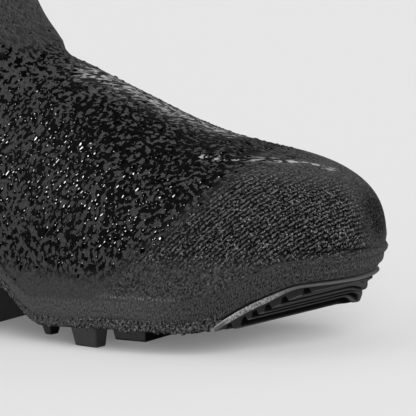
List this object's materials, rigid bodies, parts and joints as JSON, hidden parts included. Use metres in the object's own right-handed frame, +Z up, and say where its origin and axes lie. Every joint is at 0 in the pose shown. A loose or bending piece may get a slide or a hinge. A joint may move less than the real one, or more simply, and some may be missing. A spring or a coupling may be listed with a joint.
{
  "type": "cycling overshoe",
  "caption": "Stretch-knit cycling overshoe with a plain cuff, drawn over a lugged sole with a ribbed rubber toe bumper; open at the collar and hollow inside.",
  "frame": {"origin": "on the floor, under the middle of the overshoe's bounding box", "axes": "+X towards the toe, +Y towards the wearer's left (the medial side of this right shoe), +Z up"},
  "size_m": [0.286, 0.0974, 0.1981],
  "materials": {
    "knit": "matt stretch knit",
    "nylon": "satin moulded",
    "foam": "matt footbed cloth",
    "rubber": "moulded rubber"
  },
  "bodies": {
    "root": {"upper": "knit", "sole_plate": "nylon", "insole": "foam", "toe_bumper": "rubber", "lug_middle_bar": "rubber", "lug_lateral_rear": "rubber", "lug_lateral_small": "rubber", "lug_medial_rear": "rubber", "lug_medial_small": "rubber", "lug_heel_breast": "rubber", "lug_heel_lateral": "rubber", "lug_heel_medial": "rubber", "lug_heel_back": "rubber"}
  },
  "joints": []
}
